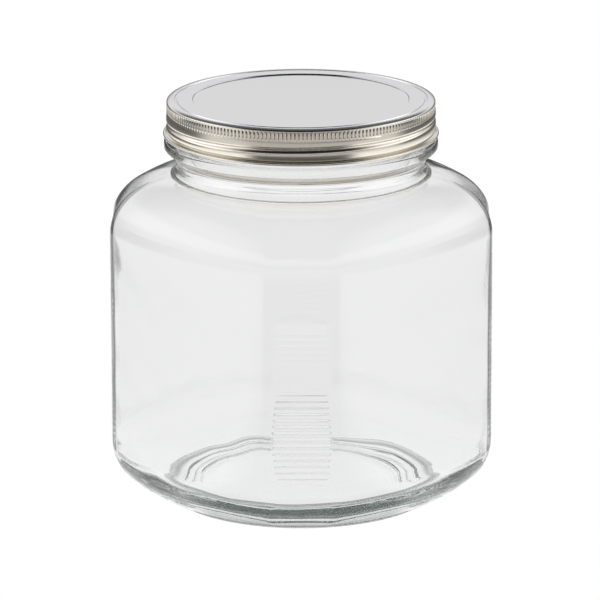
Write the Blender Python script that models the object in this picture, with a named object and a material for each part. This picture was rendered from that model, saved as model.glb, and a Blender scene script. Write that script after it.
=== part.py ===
"""A clear glass cracker jar with a stamped steel screw lid.

Metres, +Z up. The origin is the middle of the foot, on the surface that the jar stands on. The four crowned sides
face +X, -X, +Y and -Y, and a flat ribbed grip runs up each of the four corners between them. The thread starts at
the corner between -X and +Y, behind the front corner, which lies between +X and -Y.
"""

import math

import bmesh
import bpy

# Overall sizes
HEIGHT = 0.2042
SIDE_OUT = 0.0887  # from the axis to the middle of a crowned side
CORNER_OUT = 0.0959  # from the axis to the face of a corner grip
GRIP_HALF_WIDTH = 0.0166

# Foot and heel
FOOT_OUT = 0.0679
FOOT_IN = 0.0586
FOOT_HIGH = 0.0024
FOOT_EDGE = 0.0010
PUSH_UP = 0.0044
HEEL_TOP = 0.0306

# Wall, shoulder and neck
WALL = 0.0031
SHOULDER_WALL = 0.0022
THIN_FROM = 0.1000  # where the wall begins to thin towards the shoulder
WALL_TOP = 0.1380
SHOULDER_TOP = 0.1666
SHOULDER_IN = 0.0622  # where the shoulder's ellipse would end, inside the neck
NECK_OUT = 0.0628
NECK_LOW = 0.1702
BEAD_OUT = 0.0687
BEAD_LOW = 0.1795
BEAD_HIGH = 0.1842

# Mouth
FINISH_OUT = 0.0650
MOUTH_TOP = 0.2028
BORE = 0.0593
LIP_EDGE = 0.0010
RIDGE_HEIGHT = 0.0015
RIDGE_HALF = 0.0012
RIDGE_MIDDLE = 0.1962

# Inside
FLOOR_TOP = 0.0098
FLOOR_OUT = 0.0660
FLOOR_RISE = 0.0005
INNER_HEEL_TOP = 0.0262
INNER_WALL_TOP = 0.1375
INNER_SHOULDER_TOP = 0.1640
INNER_NECK_LOW = 0.1680

# Ribs on the grips
RIB_COUNT = 25
RIB_PITCH = 0.003175
RIB_DEPTH = 0.0003
RIB_HALF_WIDTH = 0.0138
RIB_MIDDLE = 0.0048

# Lid, with drops measured down from its top
SHEET = 0.0006
PANEL_OUT = 0.0539  # where the sunken panel ends and its low wall begins
PANEL_STEP = 0.0004
PANEL_DROP = 0.0005
RIM_GROOVE_OUT = 0.0634
RIM_GROOVE_IN = 0.0620
RIM_GROOVE_STEP = 0.0003
RIM_GROOVE_DROP = 0.0005
RIM_DROP = 0.0003  # at the start of the skirt's rounded edge
SKIRT_OUT = 0.0671
SKIRT_EDGE = 0.0013
BULGE = 0.0004
KNURL_DROP = 0.0060
GROOVE_DROP = 0.0106
GROOVE_DEPTH = 0.0009
GROOVE_HALF = 0.0014
GROOVE_FLOOR = 0.0005
CREASE_DROP = 0.0160
CURL_OUT = 0.0691
CURL_RADIUS = 0.0008
LID_HIGH = 0.0181

# Thread, shared by the glass's ridge and the lid's groove
THREAD_PITCH = 0.00508
THREAD_FADE = math.radians(20)
FRONT = math.radians(-45)

# Fineness
SIDE_STEPS = 10
LID_STEPS = 60
HEEL_STEPS = 7
SHOULDER_STEPS = 8

QUARTER = math.pi / 2
EIGHTH = math.pi / 4
GRIP_LINES = (GRIP_HALF_WIDTH, RIB_HALF_WIDTH, RIB_MIDDLE, -RIB_MIDDLE, -RIB_HALF_WIDTH, -GRIP_HALF_WIDTH)


def clear_scene():
    for item in list(bpy.data.objects):
        bpy.data.objects.remove(item)


def principled(name, colour, metallic, roughness, transmission=0.0):
    material = bpy.data.materials.new(name)
    material.use_nodes = True
    shader = material.node_tree.nodes["Principled BSDF"]
    shader.inputs["Base Color"].default_value = (*colour, 1.0)
    shader.inputs["Metallic"].default_value = metallic
    shader.inputs["Roughness"].default_value = roughness
    shader.inputs["Transmission Weight"].default_value = transmission
    return material


def outline_radius(angle, inset):
    """Distance from the axis to the rounded square that lies inset inside the jar's outline, in one direction."""
    corner = CORNER_OUT - inset
    half_width = GRIP_HALF_WIDTH - inset * math.tan(EIGHTH / 2)
    off_corner = abs(angle % QUARTER - EIGHTH)
    if off_corner <= math.atan2(half_width, corner):
        return corner / math.cos(off_corner)
    edge_out = (corner + half_width) / math.sqrt(2)
    edge_along = (corner - half_width) / math.sqrt(2)
    crown = SIDE_OUT - inset - edge_out
    arc = (edge_along ** 2 + crown ** 2) / (2 * crown)
    centre = SIDE_OUT - inset - arc
    off_side = EIGHTH - off_corner
    return centre * math.cos(off_side) + math.sqrt(arc ** 2 - (centre * math.sin(off_side)) ** 2)


def jar_angles():
    """Directions of the glass's upright lines: close together at a grip's edges, even along a side."""
    half_grip = math.atan2(GRIP_HALF_WIDTH, CORNER_OUT)
    side_step = (QUARTER - 2 * half_grip) / SIDE_STEPS
    angles = []
    for quarter in range(4):
        corner = quarter * QUARTER + EIGHTH
        angles += [corner - math.atan2(offset, CORNER_OUT) for offset in GRIP_LINES]
        angles += [corner + half_grip + side_step * step for step in range(1, SIDE_STEPS)]
    return angles


def level(value):
    """A height or radius that is the same in every direction."""
    return lambda angle: value


def blend(inset, round_radius, roundness):
    """A radius between the rounded square, at 0, and a circle, at 1."""
    return lambda angle: outline_radius(angle, inset) * (1 - roundness) + round_radius * roundness


def quarter_ellipse(start, end, steps):
    """Pairs of a height and a roundness along a curve that is upright at start and level at end."""
    for step in range(steps + 1):
        turn = QUARTER * step / steps
        yield start + (end - start) * math.sin(turn), 1 - math.cos(turn)


def turn_from_front(angle):
    return (angle - FRONT + math.pi) % (2 * math.pi) - math.pi


def thread_height(middle):
    """A height that climbs by one pitch in a turn, and is at middle at the front corner."""
    return lambda angle: middle + THREAD_PITCH * turn_from_front(angle) / (2 * math.pi)


def thread_radius(radius, relief):
    """A radius that stands out by relief, and fades to the plain radius where the thread's ends pass each other."""
    return lambda angle: radius + relief * min(1.0, (math.pi - abs(turn_from_front(angle))) / THREAD_FADE)


def add_rings(bm, angles, rings):
    """Makes a ring of points for each height and radius, and the faces between each two."""
    made = []
    for height, radius in rings:
        height = height if callable(height) else level(height)
        radius = radius if callable(radius) else level(radius)
        points = [(radius(a) * math.cos(a), radius(a) * math.sin(a), height(a)) for a in angles]
        made.append([bm.verts.new(point) for point in points])
    for first, second in zip(made, made[1:]):
        bridge(bm, first, second)
    return made


def bridge(bm, low, high, skipped=()):
    for column in range(len(low)):
        if column not in skipped:
            after = (column + 1) % len(low)
            bm.faces.new((low[column], low[after], high[after], high[column]))


def cap(bm, ring, height):
    middle = bm.verts.new((0, 0, height))
    for column in range(len(ring)):
        bm.faces.new((ring[column], ring[(column + 1) % len(ring)], middle))


def foot_rings():
    """The outer face from the push-up under the floor, round the foot and up the heel."""
    rings = [
        (PUSH_UP, FOOT_IN * 0.45),
        (PUSH_UP * 0.75, FOOT_IN * 0.8),
        (FOOT_EDGE, FOOT_IN - FOOT_EDGE * 2),
        (0.0, FOOT_IN),
        (0.0, FOOT_OUT - FOOT_EDGE),
        (FOOT_EDGE, FOOT_OUT),
    ]
    heel = list(quarter_ellipse(HEEL_TOP, FOOT_HIGH, HEEL_STEPS))
    return rings + [(height, blend(0.0, FOOT_OUT, roundness)) for height, roundness in reversed(heel)]


def upper_rings():
    """The outer face from the top of the ribs, over the shoulder, up the neck and over the lip."""
    rings = [(HEEL_TOP + RIB_COUNT * RIB_PITCH, blend(0.0, 0.0, 0.0))]
    shoulder = list(quarter_ellipse(WALL_TOP, SHOULDER_TOP, SHOULDER_STEPS))
    rings += [(height, blend(0.0, SHOULDER_IN, roundness)) for height, roundness in shoulder[:-1]]
    rings += [
        ((SHOULDER_TOP + NECK_LOW) / 2, NECK_OUT + 0.0010),
        (NECK_LOW, NECK_OUT),
        (NECK_LOW + 0.0020, NECK_OUT + 0.0006),
        (BEAD_LOW, BEAD_OUT - 0.0006),
        (BEAD_LOW + 0.0008, BEAD_OUT),
        (BEAD_HIGH - 0.0012, BEAD_OUT),
        (BEAD_HIGH, BEAD_OUT - 0.0012),
        (BEAD_HIGH, FINISH_OUT),
    ]
    rings += [
        (thread_height(RIDGE_MIDDLE - RIDGE_HALF), FINISH_OUT),
        (thread_height(RIDGE_MIDDLE), thread_radius(FINISH_OUT, RIDGE_HEIGHT)),
        (thread_height(RIDGE_MIDDLE + RIDGE_HALF), FINISH_OUT),
        (MOUTH_TOP - LIP_EDGE, FINISH_OUT),
        (MOUTH_TOP, FINISH_OUT - LIP_EDGE),
    ]
    return rings


def inner_rings():
    """The inner face from the lip down to the floor."""
    rings = [
        (MOUTH_TOP, BORE + LIP_EDGE),
        (MOUTH_TOP - LIP_EDGE, BORE),
        (INNER_NECK_LOW, BORE),
    ]
    shoulder = list(quarter_ellipse(INNER_WALL_TOP, INNER_SHOULDER_TOP, SHOULDER_STEPS - 1))
    rings += [(height, blend(SHOULDER_WALL, BORE, roundness)) for height, roundness in reversed(shoulder[:-1])]
    rings.append((THIN_FROM, blend(WALL, 0.0, 0.0)))
    heel = list(quarter_ellipse(INNER_HEEL_TOP, FLOOR_TOP, HEEL_STEPS - 1))
    rings += [(height, blend(WALL, FLOOR_OUT, roundness)) for height, roundness in heel]
    rings.append((FLOOR_TOP + FLOOR_RISE, FLOOR_OUT * 0.5))
    return rings


def rib_columns(bm, low, high):
    """For each upright line of one grip, its points at the ribs' crests and roots. The crests stand out."""
    columns = []
    for line, (bottom, top) in enumerate(zip(low, high)):
        ribbed = 0 < line < len(low) - 1
        outward = math.hypot(bottom.co.x, bottom.co.y)
        points = [bottom]
        for step in range(1, 2 * RIB_COUNT):
            raised = 1 + RIB_DEPTH / outward if ribbed and step % 2 == 1 else 1.0
            height = HEEL_TOP + step * RIB_PITCH / 2
            points.append(bm.verts.new((bottom.co.x * raised, bottom.co.y * raised, height)))
        columns.append(points + [top])
    return columns


def stitch(bm, edge, low, high):
    """Fans the many points of a grip's edge to the two corners of the plain wall beside it."""
    middle = len(edge) // 2
    for point in range(len(edge) - 1):
        far = low if point < middle else high
        bm.faces.new((far, edge[point], edge[point + 1]))
    bm.faces.new((low, edge[middle], high))


def add_ribbed_wall(bm, low, high):
    """Fills the wall between two rings, with ribs on the grips and plain glass on the sides."""
    lines_a_quarter = len(low) // 4
    filled = set()
    for quarter in range(4):
        first = quarter * lines_a_quarter
        last = first + len(GRIP_LINES) - 1
        columns = rib_columns(bm, low[first:last + 1], high[first:last + 1])
        for left, right in zip(columns, columns[1:]):
            for point in range(len(left) - 1):
                bm.faces.new((left[point], right[point], right[point + 1], left[point + 1]))
        stitch(bm, columns[0], low[first - 1], high[first - 1])
        stitch(bm, columns[-1], low[last + 1], high[last + 1])
        filled |= {(first - 1) % len(low)} | set(range(first, last + 1))
    bridge(bm, low, high, filled)


def finished_object(bm, name, material):
    bmesh.ops.recalc_face_normals(bm, faces=bm.faces)
    mesh = bpy.data.meshes.new(name)
    bm.to_mesh(mesh)
    bm.free()
    mesh.materials.append(material)
    mesh.shade_smooth()
    mesh.set_sharp_from_angle(angle=math.radians(35))
    item = bpy.data.objects.new(name, mesh)
    bpy.context.collection.objects.link(item)
    return item


def make_jar():
    bm = bmesh.new()
    angles = jar_angles()
    foot = add_rings(bm, angles, foot_rings())
    upper = add_rings(bm, angles, upper_rings())
    inner = add_rings(bm, angles, inner_rings())
    add_ribbed_wall(bm, foot[-1], upper[0])
    bridge(bm, upper[-1], inner[0])
    cap(bm, foot[0], PUSH_UP)
    cap(bm, inner[-1], FLOOR_TOP + FLOOR_RISE)
    glass = principled("clear_glass", (0.93, 0.96, 0.95), 0.0, 0.02, transmission=0.95)
    return finished_object(bm, "jar", glass)


def groove_rings(inset):
    """The skirt's thread groove, from its upper edge to its lower one."""
    middle = HEIGHT - GROOVE_DROP
    radius = SKIRT_OUT + BULGE - inset
    return [
        (thread_height(middle + GROOVE_HALF), radius),
        (thread_height(middle + GROOVE_FLOOR), thread_radius(radius, -GROOVE_DEPTH)),
        (thread_height(middle - GROOVE_FLOOR), thread_radius(radius, -GROOVE_DEPTH)),
        (thread_height(middle - GROOVE_HALF), radius),
    ]


def lid_rings():
    """The sheet's outer face from the sunken panel to the curl, and back up inside."""
    rings = [
        (HEIGHT - PANEL_DROP, PANEL_OUT),
        (HEIGHT, PANEL_OUT + PANEL_STEP),
        (HEIGHT, RIM_GROOVE_IN),
        (HEIGHT - RIM_GROOVE_DROP, RIM_GROOVE_IN + RIM_GROOVE_STEP),
        (HEIGHT - RIM_GROOVE_DROP, RIM_GROOVE_OUT - RIM_GROOVE_STEP),
        (HEIGHT, RIM_GROOVE_OUT),
        (HEIGHT - RIM_DROP, SKIRT_OUT - SKIRT_EDGE),
        (HEIGHT - SKIRT_EDGE, SKIRT_OUT),
        (HEIGHT - KNURL_DROP, SKIRT_OUT),
    ]
    rings += groove_rings(0.0)
    rings.append((HEIGHT - CREASE_DROP, SKIRT_OUT))
    for degrees in (60, 0, -60, -120):
        turn = math.radians(degrees)
        height = HEIGHT - LID_HIGH + CURL_RADIUS * (1 + math.sin(turn))
        rings.append((height, CURL_OUT - CURL_RADIUS * (1 - math.cos(turn))))
    rings.append((HEIGHT - LID_HIGH + CURL_RADIUS, SKIRT_OUT - SHEET))
    rings += reversed(groove_rings(SHEET))
    rings += [
        (HEIGHT - SKIRT_EDGE - SHEET, SKIRT_OUT - SHEET),
        (HEIGHT - RIM_GROOVE_DROP - SHEET, SKIRT_OUT - SHEET * 3),
        (HEIGHT - PANEL_DROP - SHEET, PANEL_OUT),
    ]
    return rings


def make_lid():
    bm = bmesh.new()
    angles = [2 * math.pi * step / LID_STEPS for step in range(LID_STEPS)]
    rings = add_rings(bm, angles, lid_rings())
    cap(bm, rings[0], HEIGHT - PANEL_DROP)
    cap(bm, rings[-1], HEIGHT - PANEL_DROP - SHEET)
    steel = principled("brushed_steel", (0.62, 0.60, 0.56), 1.0, 0.32)
    return finished_object(bm, "lid", steel)


clear_scene()
make_jar()
make_lid()
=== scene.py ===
"""Looks for a glass cracker jar: the moulded glass, its stamped screw lid, and a plain stage.

Metres, +Z up. The four crowned sides face +X, -X, +Y and -Y, and a ribbed grip stands on each corner between
them. The front corner lies between +X and -Y, and the camera faces it.
"""

import math

import bmesh
import bpy
from bpy.props import FloatProperty, FloatVectorProperty, IntProperty, PointerProperty
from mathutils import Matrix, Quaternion, Vector


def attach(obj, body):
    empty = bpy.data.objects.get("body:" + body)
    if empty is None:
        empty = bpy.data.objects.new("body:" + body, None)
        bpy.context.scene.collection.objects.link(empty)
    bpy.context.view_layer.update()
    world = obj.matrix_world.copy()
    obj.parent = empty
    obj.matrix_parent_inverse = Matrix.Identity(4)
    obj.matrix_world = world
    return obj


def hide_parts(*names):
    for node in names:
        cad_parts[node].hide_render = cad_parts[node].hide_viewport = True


bl_info = {
    "name": "Glass cracker jar",
    "version": (1, 0, 0),
    "blender": (4, 5, 0),
    "location": "3D View > Sidebar > Cracker jar",
    "description": "Builds the moulded glass and the stamped lid of a cracker jar, with a plain stage",
    "category": "Add Mesh",
}

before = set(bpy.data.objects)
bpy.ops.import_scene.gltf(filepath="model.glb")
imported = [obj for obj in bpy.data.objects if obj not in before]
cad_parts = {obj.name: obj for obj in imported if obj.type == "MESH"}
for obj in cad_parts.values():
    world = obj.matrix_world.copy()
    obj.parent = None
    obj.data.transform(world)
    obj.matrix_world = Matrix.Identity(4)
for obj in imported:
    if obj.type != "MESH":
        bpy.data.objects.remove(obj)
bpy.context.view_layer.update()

# Overall sizes
HEIGHT = 0.2042
SIDE_OUT = 0.0887
CORNER_OUT = 0.0959
GRIP_HALF_WIDTH = 0.0166

# Turn in radians that rounds a grip's edges, and the mesh's upright lines from outside a grip to its middle
GRIP_TURN = 0.012
GRIP_LINES = (0.0196, 0.0184, 0.0175, 0.0166, 0.0157, 0.0148, 0.0142, 0.0136, 0.0126, 0.0110, 0.0070, 0.0025)
SIDE_STEPS = 18

# Foot and heel
FOOT_OUT = 0.0679
FOOT_IN = 0.0586
FOOT_HIGH = 0.0024
FOOT_EDGE = 0.0010
PUSH_UP = 0.0044
HEEL_TOP = 0.0306

# Wall, shoulder and neck
WALL = 0.0031
SHOULDER_WALL = 0.0018
THIN_FROM = 0.1000
WALL_TOP = 0.1380
SHOULDER_TOP = 0.1666
SHOULDER_IN = 0.0622
NECK_OUT = 0.0628
NECK_LOW = 0.1702
BEAD_OUT = 0.0687
BEAD_LOW = 0.1795
BEAD_HIGH = 0.1842
BEAD_LOW_EDGE = 0.0010
BEAD_HIGH_EDGE = 0.0014
BEAD_FILLET = 0.0006

# Neck's fillet, as heights above the shoulder and distances out from the neck
NECK_FILLET = ((0.0004, 0.0020), (0.0012, 0.0010), (0.0022, 0.0003))

# Ease from the neck into its taper, as heights above the neck's foot and distances out from it
NECK_EASE = ((0.0, 0.0), (0.0012, 0.0002))

# Neck's taper: how far its ends are from the neck's foot and the bead's, in height and then in radius
TAPER_FROM = 0.0026
TAPER_UNTIL = 0.0001
TAPER_START = 0.0004
TAPER_END = 0.0006

# Mouth
FINISH_OUT = 0.0650
MOUTH_TOP = 0.2028
BORE = 0.0593
LIP_EDGE = 0.0010
RIDGE_HEIGHT = 0.0015
RIDGE_HALF = 0.0012
RIDGE_MIDDLE = 0.1962

# Thread ridge's section, as shares of its half width and its height
RIDGE_SHAPE = ((-1.0, 0.0), (-0.6, 0.45), (-0.25, 0.92), (0.0, 1.0), (0.25, 0.92), (0.6, 0.45), (1.0, 0.0))

# Inside
FLOOR_TOP = 0.0098
FLOOR_OUT = 0.0660
FLOOR_RISE = 0.0005
INNER_HEEL_TOP = 0.0262
INNER_WALL_TOP = 0.1375
INNER_SHOULDER_TOP = 0.1650
INNER_SHOULDER_IN = 0.0608
INNER_NECK_LOW = 0.1680

# Waver of the inner face. Each wave has its count round the jar, radians a metre upward, start and share.
WAVES = ((3, 40, 0.4, 0.5), (7, -90, 1.9, 0.3), (2, 160, 4.1, 0.2), (17, 230, 0.0, 0.2))

# Ribs
RIB_PITCH = 0.003175
RIB_HALF_WIDTH = 0.0138
RIB_FADE_IN = 0.0012
RIB_FADE_OUT = 0.0010
RIB_REACH = 0.7
RIB_SHARPNESS = 0.8
ROWS_A_RIB = 8

# Lid, with drops measured down from its top
SHEET = 0.0006
PANEL_OUT = 0.0539
PANEL_STEP = 0.0004
PANEL_DROP = 0.0005
RIM_GROOVE_OUT = 0.0634
RIM_GROOVE_IN = 0.0620
RIM_GROOVE_STEP = 0.0003
RIM_GROOVE_DROP = 0.0005
SKIRT_OUT = 0.0671
SKIRT_EDGE = 0.0013
BULGE = 0.0004
RIM_OUT = SKIRT_OUT + BULGE * 0.5
KNURL_GAP = 0.0003
KNURL_DROP = 0.0060
KNURL_FADE = 0.10
SKIRT_ROUND = 0.0006
SKIRT_FULL = 0.0016
SHARP_FROM = math.radians(32)
HAIRLINE = 0.0004
HAIRLINE_DEPTH = 0.0001
GROOVE_DROP = 0.0106
GROOVE_HALF = 0.0014
GROOVE_REACH = GROOVE_HALF * 1.15
GROOVE_GAP = 0.0004
CREASE_DROP = 0.0160
CURL_OUT = 0.0691
CURL_RADIUS = 0.0008
LID_HIGH = 0.0181

# Thread, shared by the glass's ridge and the lid's groove
THREAD_PITCH = 0.00508
THREAD_FADE = math.radians(20)
FRONT = math.radians(-45)

# Camera, as it stood for the photograph
CAMERA_AWAY = 2.540
CAMERA_HEIGHT = 0.8076
CAMERA_DOWN = math.radians(15.58)
CAMERA_ROLL = math.radians(0.15)
CAMERA_ASIDE = math.radians(-0.016)
LENS_MM = 312.9

# Floor
FLOOR_HALF = 20.0
FLOOR_GAP = 0.0002

# Painted shadow ring on the floor round the foot, shifted to the front because the light comes from behind
DARK_IN = 0.0605
DARK_IN_FADE = 0.004
DARK_OUT = 0.0645
DARK_OUT_FADE = 0.008
DARK_SHIFT = 0.0030

# Painted pool of light on the floor beside the jar, in reflections: its share of plain light, and the
# distances over which that ends
SIDE_SHARE = 1.6
SIDE_FULL = 0.60
SIDE_GONE = 0.70

# Painted dark on the front floor in reflections: the share lost far out, and its start and full part, as
# cosines from the front
FRONT_LOST = 0.25
FRONT_FROM = 0.62
FRONT_FULL = 0.82

# Painted dark on the far floor in reflections, in the same way, and the distances between which it dims
BACK_FULL = -0.2
BACK_FROM = 0.2
BACK_NEAR = 0.6
BACK_FAR = 0.9

# Light that has crossed only one wall of the glass, painted dimmer on the floor as shade at the jar's
# outline: its share near the jar, how far out, and from the room
NEAR_SHARE = 0.80
NEAR_FULL = 0.10
NEAR_GONE = 0.26
ROOM_SHARE = 0.28

# Crossings of the glass's surface that a line of sight makes, between none, one wall and two walls
OUTSIDE_BELOW = 0.5
THROUGH_ABOVE = 3.5

# The room's bright band, as the sine of the climb from the horizon
BAND_FROM = 0.08
BAND_FULL = 0.22
BAND_UNTIL = 0.36
BAND_GONE = 0.50

# The dark part of the room, high up on the camera's side, in degrees
CAP_CLIMB = 70
CAP_MIDDLE = 38
CAP_EDGE = 52

# Broad lights on both sides, in degrees: the turn from the front, the climb, and the angles from the middle
LIGHT_TURN = 90
LIGHT_CLIMB = 20
LIGHT_MIDDLE = 12
LIGHT_EDGE = 40

# Bends and mirrorings that a line of sight may make
BOUNCES = 32

# Parts of a turn
QUARTER = math.pi / 2
EIGHTH = math.pi / 4


def linear(hex_colour):
    """The linear red, green and blue of an sRGB colour such as #C8D0CE."""
    channels = [int(hex_colour[place:place + 2], 16) / 255 for place in (1, 3, 5)]
    return tuple(c / 12.92 if c <= 0.04045 else ((c + 0.055) / 1.055) ** 2.4 for c in channels)


class GlassSettings(bpy.types.PropertyGroup):
    """Ribs, waver and tint of the moulded glass."""

    rib_count: IntProperty(
        name="Ribs",
        description="Ribs on each corner grip",
        default=25,
        min=1,
    )
    rib_depth: FloatProperty(
        name="Rib depth",
        description="How far a rib stands out from the grip",
        default=0.0003,
        min=0.0,
        unit="LENGTH",
    )
    waver: FloatProperty(
        name="Waver",
        description="How far the inner face strays from an even wall, as moulded glass does",
        default=0.00025,
        min=0.0,
        unit="LENGTH",
    )
    heel_waver: FloatProperty(
        name="Heel waver",
        description="The same in the thick heel",
        default=0.0005,
        min=0.0,
        unit="LENGTH",
    )
    tint: FloatVectorProperty(
        name="Tint",
        description="Colour that thick glass takes",
        subtype="COLOR",
        size=3,
        min=0.0,
        max=1.0,
        default=linear("#DCE2E1"),
    )
    tint_density: FloatProperty(
        name="Tint density",
        description="Strength of the tint for each metre of glass",
        default=12.0,
        min=0.0,
    )


class LidSettings(bpy.types.PropertyGroup):
    """Relief and colours of the stamped lid."""

    knurls: IntProperty(
        name="Knurls",
        description="Upright flutes in the grip band round the skirt",
        default=208,
        min=12,
    )
    knurl_depth: FloatProperty(
        name="Knurl depth",
        description="How far a flute is pressed in",
        default=0.0005,
        min=0.0,
        unit="LENGTH",
    )
    groove_depth: FloatProperty(
        name="Thread groove depth",
        description="How far the rolled thread is pressed in",
        default=0.0009,
        min=0.0,
        unit="LENGTH",
    )
    tin: FloatVectorProperty(
        name="Tin",
        description="Colour of the satin tinplate on top",
        subtype="COLOR",
        size=3,
        min=0.0,
        max=1.0,
        default=linear("#DBDBDD"),
    )
    # Painted reflection: the skirt's warmer colour stands in for the warm room it reflects
    skirt_reflection_tint: FloatVectorProperty(
        name="Skirt tint",
        description="Colour of the skirt, warmed as a painted reflection",
        subtype="COLOR",
        size=3,
        min=0.0,
        max=1.0,
        default=linear("#DAD4C9"),
    )


class StageSettings(bpy.types.PropertyGroup):
    """The floor and the light. Each brightness is a share of plain white."""

    glow: FloatProperty(
        name="Floor",
        description="Brightness of the floor seen through the glass",
        default=0.87,
        min=0.0,
    )
    # Painted shadow: how bright the floor's glow is kept under the jar's foot
    foot_glow: FloatProperty(
        name="Foot",
        description="Brightness of the floor under the jar's foot, where little light comes",
        default=0.08,
        min=0.0,
    )
    # Painted dark on the floor in front of the jar, as reflections find it
    front_glow: FloatProperty(
        name="Front",
        description="Brightness of the floor in front of the jar, in reflections",
        default=0.12,
        min=0.0,
    )
    # Also sets the painted dark of the far floor in reflections
    far_glow: FloatProperty(
        name="Far edge",
        description="Share of the far floor's and the horizon's light in reflections",
        default=0.15,
        min=0.0,
        max=1.0,
    )
    cap_glow: FloatProperty(
        name="Dark cap",
        description="Brightness of the dark part of the room, high up on the camera's side",
        default=0.03,
        min=0.0,
    )
    # Painted shade on the floor where a line of sight has crossed only one wall of the glass
    edge_glow: FloatProperty(
        name="Edge",
        description="Share kept of the outer floor's light that has crossed only one wall of the glass",
        default=0.08,
        min=0.0,
        max=1.0,
    )
    wall_glow: FloatProperty(
        name="Wall",
        description="Brightness of the room seen through the glass",
        default=1.0,
        min=0.0,
    )
    band_glow: FloatProperty(
        name="Light band",
        description="Brightness of the room a little above the horizon",
        default=1.0,
        min=0.0,
    )
    ceiling_glow: FloatProperty(
        name="Ceiling",
        description="Brightness of the room overhead",
        default=0.15,
        min=0.0,
    )
    softbox_glow: FloatProperty(
        name="Broad lights",
        description="Brightness of the two broad lights beside the jar",
        default=1.0,
        min=0.0,
    )


def add_node(tree, kind, settings=None, **links):
    """Adds a node with its settings.

    Each link is an input's name with spaces as _, or _ and its number, and a value or another socket.
    """
    node = tree.nodes.new(kind)
    for setting, value in (settings or {}).items():
        setattr(node, setting, value)
    for place, value in links.items():
        key = int(place[1:]) if place[1:].isdigit() else place.replace("_", " ")
        socket = node.inputs[key]
        if isinstance(value, bpy.types.NodeSocket):
            tree.links.new(value, socket)
        else:
            socket.default_value = value
    return node


def new_material(name):
    """An empty node material and its output node."""
    material = bpy.data.materials.new(name)
    material.use_nodes = True
    material.node_tree.nodes.clear()
    output = material.node_tree.nodes.new("ShaderNodeOutputMaterial")
    return material, material.node_tree, output


def outline_radius(angle, inset):
    """Distance from the axis, in one direction, to the jar's outline drawn in by inset."""
    corner = CORNER_OUT - inset
    half_width = GRIP_HALF_WIDTH - inset * math.tan(EIGHTH / 2)
    off_corner = abs(angle % QUARTER - EIGHTH)
    if off_corner <= math.atan2(half_width, corner):
        return corner / math.cos(off_corner)
    edge_out = (corner + half_width) / math.sqrt(2)
    edge_along = (corner - half_width) / math.sqrt(2)
    crown = SIDE_OUT - inset - edge_out
    bend = (edge_along ** 2 + crown ** 2) / (2 * crown)
    centre = SIDE_OUT - inset - bend
    off_side = EIGHTH - off_corner
    return centre * math.cos(off_side) + math.sqrt(bend ** 2 - (centre * math.sin(off_side)) ** 2)


def soft_outline(angle, inset):
    """The outline with the grips' edges rounded, as a mean over a small turn."""
    turns = [GRIP_TURN * step for step in (-2, -1, 0, 1, 2)]
    return sum(outline_radius(angle + turn, inset) for turn in turns) / len(turns)


def jar_angles():
    """Directions of the glass's upright lines: close together at a grip's edges, wider along a side."""
    offsets = [*GRIP_LINES, *(-line for line in reversed(GRIP_LINES))]
    first = math.atan2(offsets[0], CORNER_OUT)
    side_step = (QUARTER - 2 * first) / SIDE_STEPS
    angles = []
    for quarter in range(4):
        corner = quarter * QUARTER + EIGHTH
        angles += [corner - math.atan2(offset, CORNER_OUT) for offset in offsets]
        angles += [corner + first + side_step * step for step in range(1, SIDE_STEPS)]
    return angles


def level(value):
    """A height or radius that is the same in every direction."""
    return lambda angle: value


def blend(inset, round_radius, roundness):
    """A radius between the rounded square, at 0, and a circle, at 1."""
    return lambda angle: soft_outline(angle, inset) * (1 - roundness) + round_radius * roundness


def quarter_ellipse(start, end, steps):
    """Pairs of a height and a roundness along a curve that is upright at start and level at end."""
    for step in range(steps + 1):
        turn = QUARTER * step / steps
        yield start + (end - start) * math.sin(turn), 1 - math.cos(turn)


def arc(centre_out, centre_high, radius, start, end, steps):
    """Pairs of a height and a radius along a round edge. 0 degrees points outward and 90 up."""
    pairs = []
    for step in range(steps + 1):
        turn = math.radians(start + (end - start) * step / steps)
        pairs.append((centre_high + radius * math.sin(turn), centre_out + radius * math.cos(turn)))
    return pairs


def ease(low, high, value):
    """0 at low, 1 at high, and a smooth step between them."""
    part = min(1.0, max(0.0, (value - low) / (high - low)))
    return part * part * (3 - 2 * part)


def turn_from_front(angle):
    """Turn from the front corner, between half a turn back and half a turn on."""
    return (angle - FRONT + math.pi) % (2 * math.pi) - math.pi


def thread_height(middle):
    """A height that climbs by one pitch in a turn, and is at middle at the front corner."""
    return lambda angle: middle + THREAD_PITCH * turn_from_front(angle) / (2 * math.pi)


def eased_thread(low, high, share):
    """A height that goes from level, at low, to the thread's climb, at high."""
    return lambda angle: low + (high - low) * share + share * thread_height(0)(angle)


def thread_radius(radius, relief):
    """A radius that stands out by relief, and fades to plain where the thread's ends pass each other."""
    return lambda angle: radius + relief * min(1.0, (math.pi - abs(turn_from_front(angle))) / THREAD_FADE)


def add_rings(bm, angles, rings):
    """Makes a ring of points for each height and radius, and the faces between each two."""
    made = []
    for height, radius in rings:
        height = height if callable(height) else level(height)
        radius = radius if callable(radius) else level(radius)
        points = [(radius(a) * math.cos(a), radius(a) * math.sin(a), height(a)) for a in angles]
        made.append([bm.verts.new(point) for point in points])
    for first, second in zip(made, made[1:]):
        bridge(bm, first, second)
    return made


def bridge(bm, low, high):
    """Makes the faces between two rings."""
    for column in range(len(low)):
        after = (column + 1) % len(low)
        bm.faces.new((low[column], low[after], high[after], high[column]))


def cap(bm, ring, height):
    """Closes a ring with a fan of faces."""
    middle = bm.verts.new((0, 0, height))
    for column in range(len(ring)):
        bm.faces.new((ring[column], ring[(column + 1) % len(ring)], middle))


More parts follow.
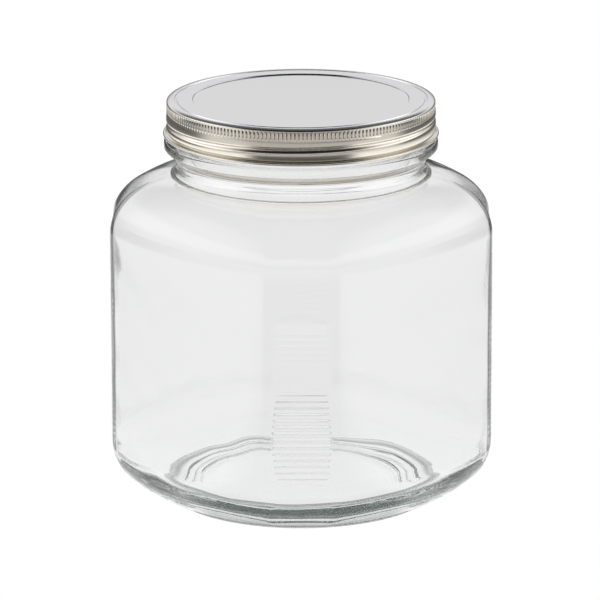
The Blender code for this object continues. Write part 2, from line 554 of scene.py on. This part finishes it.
def finished_piece(bm, name, material, node):
    """Turns the mesh into a smooth piece that rides on the jar's one body and stands for a CAD node."""
    bmesh.ops.recalc_face_normals(bm, faces=bm.faces)
    mesh = bpy.data.meshes.new(name)
    bm.to_mesh(mesh)
    bm.free()
    mesh.materials.append(material)
    mesh.shade_smooth()
    piece = bpy.data.objects.new(name, mesh)
    bpy.context.collection.objects.link(piece)
    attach(piece, "root")
    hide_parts(node)
    return piece


def ribbed_wall(height, rib_depth):
    """The outer radius at one height of the ribbed part of the wall, where each rib stands out a little."""
    phase = (height - HEEL_TOP) / RIB_PITCH
    crest = rib_depth * (0.5 - 0.5 * math.cos(2 * math.pi * phase)) ** RIB_SHARPNESS

    def radius(angle):
        off_corner = abs(angle % QUARTER - EIGHTH)
        across = CORNER_OUT * math.tan(min(off_corner, RIB_REACH))
        faded = ease(RIB_HALF_WIDTH - RIB_FADE_IN, RIB_HALF_WIDTH + RIB_FADE_OUT, across)
        return soft_outline(angle, 0.0) + crest * (1 - faded)

    return radius


def wavered(radius, height, size):
    """The inner face's radius, which strays in and out a little as moulded glass does."""
    def strayed(angle):
        wave = 0
        for count, rate, start, share in WAVES:
            wave += share * math.sin(count * angle + rate * height + start)
        return radius(angle) + size * wave

    return strayed


def taper_rings():
    """The neck's widening under the bead, a little concave."""
    low, high = NECK_LOW + TAPER_FROM, BEAD_LOW - TAPER_UNTIL
    start, end = NECK_OUT + TAPER_START, BEAD_OUT - TAPER_END
    parts = (0.0, 0.25, 0.5, 0.75, 0.9, 1.0)
    return [(low + (high - low) * part, start + (end - start) * part ** 2) for part in parts]


def outer_rings(settings):
    """The outer face from the push-up under the floor to the lip."""
    rings = [(PUSH_UP, FOOT_IN * part) for part in (0.15, 0.35, 0.55, 0.7)]
    rings += [
        (PUSH_UP * 0.92, FOOT_IN * 0.80),
        (PUSH_UP * 0.70, FOOT_IN * 0.88),
        (PUSH_UP * 0.40, FOOT_IN * 0.94),
        (FOOT_EDGE, FOOT_IN - FOOT_EDGE * 1.2),
        (FOOT_EDGE * 0.35, FOOT_IN - FOOT_EDGE * 0.4),
        (0.0, FOOT_IN + FOOT_EDGE * 0.3),
        (0.0, (FOOT_IN + FOOT_OUT) / 2),
    ]
    rings += arc(FOOT_OUT - FOOT_EDGE, FOOT_EDGE, FOOT_EDGE, -90, 0, 4)
    heel = list(quarter_ellipse(HEEL_TOP, FOOT_HIGH, 20))
    rings += [(height, blend(0.0, FOOT_OUT, roundness)) for height, roundness in reversed(heel)]
    for row in range(1, settings.rib_count * ROWS_A_RIB + 1):
        height = HEEL_TOP + row * RIB_PITCH / ROWS_A_RIB
        rings.append((height, ribbed_wall(height, settings.rib_depth)))
    top = HEEL_TOP + settings.rib_count * RIB_PITCH
    rings += [(top + (WALL_TOP - top) * part, blend(0.0, 0.0, 0.0)) for part in (0.25, 0.5, 0.75)]
    shoulder = list(quarter_ellipse(WALL_TOP, SHOULDER_TOP, 28))
    rings += [(height, blend(0.0, SHOULDER_IN, roundness)) for height, roundness in shoulder[:-1]]
    rings += [(SHOULDER_TOP + up, NECK_OUT + out) for up, out in NECK_FILLET]
    rings += [(NECK_LOW + up, NECK_OUT + out) for up, out in NECK_EASE]
    rings += taper_rings()
    rings += arc(BEAD_OUT - BEAD_LOW_EDGE, BEAD_LOW + BEAD_LOW_EDGE * 0.8, BEAD_LOW_EDGE, -45, 0, 4)
    rings += arc(BEAD_OUT - BEAD_HIGH_EDGE, BEAD_HIGH - BEAD_HIGH_EDGE, BEAD_HIGH_EDGE, 0, 90, 6)
    rings += arc(FINISH_OUT + BEAD_FILLET, BEAD_HIGH + BEAD_FILLET, BEAD_FILLET, -90, -180, 3)
    for along, relief in RIDGE_SHAPE:
        height = thread_height(RIDGE_MIDDLE + RIDGE_HALF * along)
        rings.append((height, thread_radius(FINISH_OUT, RIDGE_HEIGHT * relief)))
    rings += arc(FINISH_OUT - LIP_EDGE, MOUTH_TOP - LIP_EDGE, LIP_EDGE, 0, 90, 4)
    return rings


def wall_thickness(height):
    """Thick down the body, and thinner in the shoulder where the glass was blown out last."""
    return WALL + (SHOULDER_WALL - WALL) * ease(THIN_FROM, INNER_WALL_TOP, height)


def inner_rings(settings):
    """The inner face from the lip down to the floor."""
    rings = arc(BORE + LIP_EDGE, MOUTH_TOP - LIP_EDGE, LIP_EDGE, 90, 180, 4)
    neck = MOUTH_TOP - LIP_EDGE - INNER_NECK_LOW
    rings += [(INNER_NECK_LOW + neck * part, BORE) for part in (0.7, 0.4, 0.2, 0.08)]
    shoulder = list(quarter_ellipse(INNER_WALL_TOP, INNER_SHOULDER_TOP, 26))
    for height, roundness in reversed(shoulder[:-1]):
        radius = blend(wall_thickness(height), INNER_SHOULDER_IN, roundness)
        rings.append((height, wavered(radius, height, settings.waver * (1 - roundness))))
    steps = 40
    for step in range(1, steps):
        height = INNER_WALL_TOP + (INNER_HEEL_TOP - INNER_WALL_TOP) * step / steps
        rings.append((height, wavered(blend(wall_thickness(height), 0.0, 0.0), height, settings.waver)))
    heel = list(quarter_ellipse(INNER_HEEL_TOP, FLOOR_TOP, 24))
    for height, roundness in heel:
        rings.append((height, wavered(blend(WALL, FLOOR_OUT, roundness), height, settings.heel_waver)))
    for part in (0.85, 0.7, 0.5, 0.3, 0.12):
        rings.append((FLOOR_TOP + FLOOR_RISE * (1 - part * part), FLOOR_OUT * part))
    return rings


def blown_soda_lime_glass(settings):
    """Soda-lime glass blown into a mould: clear, with a fire-polished gloss, and faintly green if thick."""
    material, tree, output = new_material("Soda-lime glass, mould-blown")
    glass = add_node(
        tree,
        "ShaderNodeBsdfPrincipled",
        Base_Color=(1.0, 1.0, 1.0, 1.0),
        Roughness=0.0,
        IOR=1.52,
        Transmission_Weight=1.0,
    )
    body = add_node(
        tree,
        "ShaderNodeVolumeAbsorption",
        Color=(*settings.tint, 1.0),
        Density=settings.tint_density,
    )
    tree.links.new(glass.outputs["BSDF"], output.inputs["Surface"])
    tree.links.new(body.outputs["Volume"], output.inputs["Volume"])
    return material


class JARLOOK_OT_glass(bpy.types.Operator):
    """Makes the moulded glass, from its foot to its mouth, inside and out."""

    bl_idname = "jarlook.glass"
    bl_label = "Mould the glass"

    def execute(self, context):
        settings = context.scene.jar_glass
        bm = bmesh.new()
        angles = jar_angles()
        outer = add_rings(bm, angles, outer_rings(settings))
        inner = add_rings(bm, angles, inner_rings(settings))
        bridge(bm, outer[-1], inner[0])
        cap(bm, outer[0], PUSH_UP)
        cap(bm, inner[-1], FLOOR_TOP + FLOOR_RISE)
        finished_piece(bm, "moulded_glass_jar", blown_soda_lime_glass(settings), "jar")
        return {"FINISHED"}


def rounded_step(out_start, high_start, out_end, high_end):
    """Pairs of a height and a radius down or up a low wall whose two edges are rounded."""
    pairs = []
    for step in range(6):
        part = step / 5
        height = high_start + (high_end - high_start) * ease(0, 1, part)
        pairs.append((height, out_start + (out_end - out_start) * part))
    return pairs


def disc_rings():
    """The lid's top from its middle, over the sunken panel's wall and the rim's groove, to the skirt."""
    panel = HEIGHT - PANEL_DROP
    floor = HEIGHT - RIM_GROOVE_DROP
    rings = [(panel, PANEL_OUT * part) for part in (0.2, 0.5, 0.8, 0.97)]
    rings += rounded_step(PANEL_OUT, panel, PANEL_OUT + PANEL_STEP, HEIGHT)
    rings += [(HEIGHT, PANEL_OUT + PANEL_STEP * 3), (HEIGHT, RIM_GROOVE_IN - RIM_GROOVE_STEP * 2)]
    rings += rounded_step(RIM_GROOVE_IN, HEIGHT, RIM_GROOVE_IN + RIM_GROOVE_STEP, floor)
    rings += rounded_step(RIM_GROOVE_OUT - RIM_GROOVE_STEP, floor, RIM_GROOVE_OUT, HEIGHT)
    edge_in = RIM_GROOVE_OUT + RIM_GROOVE_STEP * 2
    for step in range(7):
        turn = QUARTER * step / 6
        high = HEIGHT - SKIRT_EDGE * (1 - math.cos(turn))
        rings.append((high, edge_in + (RIM_OUT - edge_in) * math.sin(turn)))
    return rings


def knurl_rings(settings):
    """The band of flutes under the rim. A flute has straight flanks, and is half as wide as its pitch."""
    high = HEIGHT - SKIRT_EDGE - KNURL_GAP
    low = HEIGHT - KNURL_DROP
    rings = []
    for part in (0.0, 0.04, 0.10, 0.5, 0.90, 0.96, 1.0):
        depth = settings.knurl_depth * ease(0.0, KNURL_FADE, part) * ease(0.0, KNURL_FADE, 1 - part)

        def radius(angle, depth=depth):
            along = settings.knurls * angle / (2 * math.pi) % 1
            return RIM_OUT - depth * max(0.0, 1 - 4 * abs(along - 0.5))

        rings.append((high + (low - high) * part, radius))
    return rings


def skirt_rings(inset, groove_depth):
    """The skirt from below the knurls, over the thread groove and the bead, to the crease."""
    out = SKIRT_OUT - inset
    middle = HEIGHT - GROOVE_DROP
    rings = [
        (thread_height(HEIGHT - KNURL_DROP - SKIRT_ROUND), out + BULGE * 0.7),
        (thread_height(HEIGHT - KNURL_DROP - SKIRT_FULL), out + BULGE),
        (thread_height(middle + GROOVE_HALF + GROOVE_GAP), out + BULGE),
    ]
    for step in range(9):
        along = 1 - step / 4
        relief = 0.5 + 0.5 * math.cos(math.pi * along)
        height = thread_height(middle + GROOVE_REACH * along)
        rings.append((height, thread_radius(out + BULGE, -groove_depth * relief)))
    crease = HEIGHT - CREASE_DROP
    for step in range(1, 7):
        turn = QUARTER * step / 6
        height = eased_thread(crease, middle - GROOVE_REACH, 1 - step / 6)
        rings.append((height, out + BULGE * 1.2 * math.sqrt(math.cos(turn))))
    return rings


def curl_rings():
    """The rolled edge at the foot of the skirt."""
    centre_high = HEIGHT - LID_HIGH + CURL_RADIUS
    return arc(CURL_OUT - CURL_RADIUS, centre_high, CURL_RADIUS, 110, -180, 10)


def under_rings(settings):
    """The sheet's inner face, from the curl up to the underside of the panel."""
    rings = [(HEIGHT - LID_HIGH + CURL_RADIUS * 1.6, SKIRT_OUT - SHEET)]
    rings += list(reversed(skirt_rings(SHEET, settings.groove_depth)))
    rings += [
        (HEIGHT - KNURL_DROP, SKIRT_OUT - SHEET * 1.6),
        (HEIGHT - SKIRT_EDGE - SHEET, SKIRT_OUT - SHEET * 1.6),
        (HEIGHT - RIM_GROOVE_DROP - SHEET * 1.2, SKIRT_OUT - SHEET * 2.2),
        (HEIGHT - RIM_GROOVE_DROP - SHEET, SKIRT_OUT - SHEET * 3),
        (HEIGHT - PANEL_DROP - SHEET, PANEL_OUT),
    ]
    return rings


def satin_tinplate(settings):
    """Electrolytic tinplate, satin brushed: soft silver on top, and warmer on the skirt, where the warmth is
    a painted reflection of a warm room.
    """
    material, tree, output = new_material("Tinplate, satin brushed")
    position = add_node(tree, "ShaderNodeTexCoord").outputs["Object"]
    # Hairlines from brushing are under 0.1 mm wide, and are drawn at 0.4 mm so that they still show.
    hairline = add_node(tree, "ShaderNodeTexNoise", Vector=position, Scale=1 / HAIRLINE, Detail=2.0)
    bump = add_node(
        tree,
        "ShaderNodeBump",
        Strength=0.03,
        Distance=HAIRLINE_DEPTH,
        Height=hairline.outputs["Fac"],
    )
    height = add_node(tree, "ShaderNodeSeparateXYZ", Vector=position).outputs["Z"]
    # The skirt's warmer colour is a painted reflection; the top keeps the tin's own colour
    on_top = map_range(tree, height, HEIGHT - SKIRT_EDGE, HEIGHT - SKIRT_EDGE * 0.3, 0.0, 1.0)
    colour = add_node(
        tree,
        "ShaderNodeMix",
        {"data_type": "RGBA"},
        _0=on_top,
        _6=(*settings.skirt_reflection_tint, 1.0),
        _7=(*settings.tin, 1.0),
    )
    tin = add_node(
        tree,
        "ShaderNodeBsdfPrincipled",
        Base_Color=colour.outputs[2],
        Metallic=1.0,
        Roughness=0.2,
        Normal=bump.outputs["Normal"],
    )
    tree.links.new(tin.outputs["BSDF"], output.inputs["Surface"])
    return material


class JARLOOK_OT_lid(bpy.types.Operator):
    """Stamps the screw lid: sunken panel, rim, knurled band, thread groove, bead and curled edge."""

    bl_idname = "jarlook.lid"
    bl_label = "Stamp the lid"

    def execute(self, context):
        settings = context.scene.jar_lid
        bm = bmesh.new()
        columns = settings.knurls * 4
        angles = [2 * math.pi * step / columns for step in range(columns)]
        rings = disc_rings() + knurl_rings(settings) + skirt_rings(0.0, settings.groove_depth)
        sheet = add_rings(bm, angles, rings + curl_rings() + under_rings(settings))
        cap(bm, sheet[0], HEIGHT - PANEL_DROP)
        cap(bm, sheet[-1], HEIGHT - PANEL_DROP - SHEET)
        lid = finished_piece(bm, "stamped_screw_lid", satin_tinplate(settings), "lid")
        lid.data.set_sharp_from_angle(angle=SHARP_FROM)
        return {"FINISHED"}


def add_camera():
    """The camera on the front corner's side, tilted down, with a long lens."""
    lens = bpy.data.cameras.new("camera")
    lens.lens = LENS_MM
    lens.sensor_width = 36.0
    lens.clip_end = 50.0
    camera = bpy.data.objects.new("camera", lens)
    bpy.context.collection.objects.link(camera)
    out = Vector((math.cos(FRONT), math.sin(FRONT), 0.0))
    camera.location = out * CAMERA_AWAY + Vector((0, 0, CAMERA_HEIGHT))
    away = -out * math.cos(CAMERA_DOWN) - Vector((0, 0, math.sin(CAMERA_DOWN)))
    aim = away.to_track_quat("-Z", "Y")
    camera.rotation_mode = "QUATERNION"
    aside = Quaternion((0, 0, 1), -CAMERA_ASIDE)
    roll = Quaternion((0, 0, 1), -CAMERA_ROLL)
    camera.rotation_quaternion = aside @ aim @ roll
    bpy.context.scene.camera = camera


def map_range(tree, value, low, high, low_result, high_result):
    """Eases from low_result to high_result as the value goes from low to high."""
    node = add_node(
        tree,
        "ShaderNodeMapRange",
        {"interpolation_type": "SMOOTHSTEP"},
        Value=value,
        From_Min=low,
        From_Max=high,
        To_Min=low_result,
        To_Max=high_result,
    )
    return node.outputs["Result"]


def combined(tree, operation, first, second):
    """Two numbers put together, such as by MULTIPLY or ADD."""
    return add_node(tree, "ShaderNodeMath", {"operation": operation}, _0=first, _1=second).outputs["Value"]


def share_along(tree, vector, axis):
    """How much of a vector points along an axis."""
    node = add_node(tree, "ShaderNodeVectorMath", {"operation": "DOT_PRODUCT"}, _0=vector, _1=axis)
    return node.outputs["Value"]


def distance(tree, place, centre):
    """How far one place is from another."""
    node = add_node(tree, "ShaderNodeVectorMath", {"operation": "DISTANCE"}, _0=place, _1=centre)
    return node.outputs["Value"]


def edge_dimming(tree, path, share):
    """The share kept of light that has crossed only one wall, as at the jar's outline, and 1 for the rest."""
    crossings = path.outputs["Transmission Depth"]
    through = combined(tree, "GREATER_THAN", crossings, THROUGH_ABOVE)
    outside = combined(tree, "LESS_THAN", crossings, OUTSIDE_BELOW)
    clear = combined(tree, "MAXIMUM", through, outside)
    dim = combined(tree, "MULTIPLY", combined(tree, "SUBTRACT", 1.0, clear), share)
    return combined(tree, "ADD", clear, dim)


def for_reflections(tree, path, reflected, through=1.0):
    """One brightness where a reflection finds it, and another where it is seen through the glass."""
    mirrored = path.outputs["Is Reflection Ray"]
    first = combined(tree, "MULTIPLY", mirrored, reflected)
    other = combined(tree, "MULTIPLY", combined(tree, "SUBTRACT", 1.0, mirrored), through)
    return combined(tree, "ADD", first, other)


def painted_shadow_ring(tree, place, out, settings):
    """The floor's light by place: a painted shadow ring where the foot keeps the light out, and even
    elsewhere.
    """
    shift = (DARK_SHIFT * math.cos(FRONT), DARK_SHIFT * math.sin(FRONT), 0.0)
    off_ring = distance(tree, place, shift)
    rise = settings.glow - settings.foot_glow
    inside = map_range(tree, out, DARK_IN, DARK_IN + DARK_IN_FADE, settings.glow, settings.foot_glow)
    outside = map_range(tree, off_ring, DARK_OUT, DARK_OUT + DARK_OUT_FADE, 0.0, rise)
    return combined(tree, "ADD", inside, outside)


def painted_reflection_glow(tree, place, out, settings):
    """The share of the floor's light that a reflection finds, painted on: a painted pool of light beside the
    jar, and painted dark before it.
    """
    way = add_node(tree, "ShaderNodeVectorMath", {"operation": "NORMALIZE"}, _0=place).outputs["Vector"]
    towards = share_along(tree, way, (math.cos(FRONT), math.sin(FRONT), 0.0))
    full = map_range(tree, out, SIDE_FULL, SIDE_GONE, SIDE_SHARE, 1.0)
    front = map_range(tree, towards, FRONT_FROM, FRONT_FULL, 0.0, 1.0)
    dark = map_range(tree, out, SIDE_FULL, SIDE_GONE, SIDE_SHARE - settings.front_glow, FRONT_LOST)
    back = map_range(tree, towards, BACK_FULL, BACK_FROM, 1.0, 0.0)
    dim = map_range(tree, out, BACK_NEAR, BACK_FAR, 0.0, 1 - settings.far_glow)
    kept = combined(tree, "SUBTRACT", full, combined(tree, "MULTIPLY", front, dark))
    return combined(tree, "SUBTRACT", kept, combined(tree, "MULTIPLY", back, dim))


def glowing_card_with_painted_shade(settings):
    """White card that glows as a light table does: no gloss, plain white to the camera, and to other rays an
    even glow with a painted shadow ring under the jar and painted shade where a line of sight has crossed
    only one wall of the glass.

    Reflections find painted light on it: painted dark in front and a painted pool of light beside the jar, as
    under two lamps in a dark room.
    """
    material, tree, output = new_material("White card, glowing, with painted shade")
    place = add_node(tree, "ShaderNodeNewGeometry").outputs["Position"]
    path = add_node(tree, "ShaderNodeLightPath")
    out = distance(tree, place, (0, 0, 0))
    # Painted shadow ring under the foot, painted into the floor's glow
    glow = painted_shadow_ring(tree, place, out, settings)
    # Painted light and shade for reflections: painted dark in front, a painted pool of light beside the jar
    dimmed = for_reflections(tree, path, painted_reflection_glow(tree, place, out, settings))
    # Painted shade where a line of sight has crossed only one wall of the glass, as at the jar's outline
    beside = map_range(tree, out, NEAR_FULL, NEAR_GONE, NEAR_SHARE, settings.edge_glow)
    glow = combined(tree, "MULTIPLY", glow, dimmed)
    seen = combined(tree, "MULTIPLY", glow, edge_dimming(tree, path, beside))
    card = add_node(
        tree,
        "ShaderNodeEmission",
        Color=(1.0, 1.0, 1.0, 1.0),
        Strength=combined(tree, "MAXIMUM", seen, path.outputs["Is Camera Ray"]),
    )
    tree.links.new(card.outputs["Emission"], output.inputs["Surface"])
    return material


def add_floor(settings):
    """The wide floor, a hair below the foot so that the two don't touch."""
    bm = bmesh.new()
    bmesh.ops.create_grid(bm, x_segments=8, y_segments=8, size=FLOOR_HALF)
    mesh = bpy.data.meshes.new("floor")
    bm.to_mesh(mesh)
    bm.free()
    mesh.materials.append(glowing_card_with_painted_shade(settings))
    floor = bpy.data.objects.new("floor", mesh)
    floor.location = (0, 0, -FLOOR_GAP)
    bpy.context.collection.objects.link(floor)


def soft_light(tree, direction, turn, climb, brightness):
    """A broad light with soft edges. turn is in degrees from the front, and climb from the horizon."""
    angle = FRONT + math.radians(turn)
    rise = math.radians(climb)
    way = (math.cos(angle) * math.cos(rise), math.sin(angle) * math.cos(rise), math.sin(rise))
    edge, middle = math.cos(math.radians(LIGHT_EDGE)), math.cos(math.radians(LIGHT_MIDDLE))
    return map_range(tree, share_along(tree, direction, way), edge, middle, 0.0, brightness)


def light_room(settings):
    """The room: plain white to the camera, and to reflections a bright band with a light on each side."""
    world = bpy.data.worlds.new("room")
    world.use_nodes = True
    tree = world.node_tree
    tree.nodes.clear()
    direction = add_node(tree, "ShaderNodeTexCoord").outputs["Generated"]
    climb = share_along(tree, direction, (0.0, 0.0, 1.0))
    low_glow = settings.band_glow * settings.far_glow
    wall = map_range(tree, climb, BAND_FROM, BAND_FULL, low_glow, settings.band_glow)
    over = map_range(tree, climb, BAND_UNTIL, BAND_GONE, 0.0, settings.band_glow - settings.ceiling_glow)
    lean = math.radians(CAP_CLIMB)
    dark_way = (math.cos(FRONT) * math.cos(lean), math.sin(FRONT) * math.cos(lean), math.sin(lean))
    edge, middle = math.cos(math.radians(CAP_EDGE)), math.cos(math.radians(CAP_MIDDLE))
    front = map_range(tree, share_along(tree, direction, dark_way), edge, middle, 1.0, settings.cap_glow)
    glow = combined(tree, "MULTIPLY", combined(tree, "SUBTRACT", wall, over), front)
    for turn in (-LIGHT_TURN, LIGHT_TURN):
        light = soft_light(tree, direction, turn, LIGHT_CLIMB, settings.softbox_glow)
        glow = combined(tree, "ADD", glow, light)
    path = add_node(tree, "ShaderNodeLightPath")
    glow = for_reflections(tree, path, glow, settings.wall_glow)
    glow = combined(tree, "MULTIPLY", glow, edge_dimming(tree, path, ROOM_SHARE))
    room = add_node(
        tree,
        "ShaderNodeBackground",
        Color=(1.0, 1.0, 1.0, 1.0),
        Strength=combined(tree, "MAXIMUM", glow, path.outputs["Is Camera Ray"]),
    )
    output = tree.nodes.new("ShaderNodeOutputWorld")
    tree.links.new(room.outputs["Background"], output.inputs["Surface"])
    bpy.context.scene.world = world


class JARLOOK_OT_stage(bpy.types.Operator):
    """Sets the camera, the floor and the light."""

    bl_idname = "jarlook.stage"
    bl_label = "Set the stage"

    def execute(self, context):
        settings = context.scene.jar_stage
        add_camera()
        add_floor(settings)
        light_room(settings)
        scene = context.scene
        scene.cycles.max_bounces = BOUNCES
        scene.cycles.glossy_bounces = BOUNCES
        scene.cycles.transmission_bounces = BOUNCES
        scene.view_settings.view_transform = "Standard"
        return {"FINISHED"}


class JARLOOK_PT_panel(bpy.types.Panel):
    """Lists the settings and the steps."""

    bl_idname = "JARLOOK_PT_panel"
    bl_label = "Cracker jar"
    bl_space_type = "VIEW_3D"
    bl_region_type = "UI"
    bl_category = "Cracker jar"

    def draw(self, context):
        scene = context.scene
        for group, step in ((scene.jar_stage, "stage"), (scene.jar_glass, "glass"), (scene.jar_lid, "lid")):
            box = self.layout.box()
            for setting in group.__annotations__:
                box.prop(group, setting)
            box.operator("jarlook." + step)


SETTINGS = {"jar_glass": GlassSettings, "jar_lid": LidSettings, "jar_stage": StageSettings}
CLASSES = (*SETTINGS.values(), JARLOOK_OT_stage, JARLOOK_OT_glass, JARLOOK_OT_lid, JARLOOK_PT_panel)


def register():
    for made in CLASSES:
        bpy.utils.register_class(made)
    for name, group in SETTINGS.items():
        setattr(bpy.types.Scene, name, PointerProperty(type=group))


def unregister():
    for name in SETTINGS:
        delattr(bpy.types.Scene, name)
    for made in reversed(CLASSES):
        bpy.utils.unregister_class(made)


def main():
    register()
    bpy.ops.jarlook.stage()
    bpy.ops.jarlook.glass()
    bpy.ops.jarlook.lid()


if __name__ == "__main__":
    main()
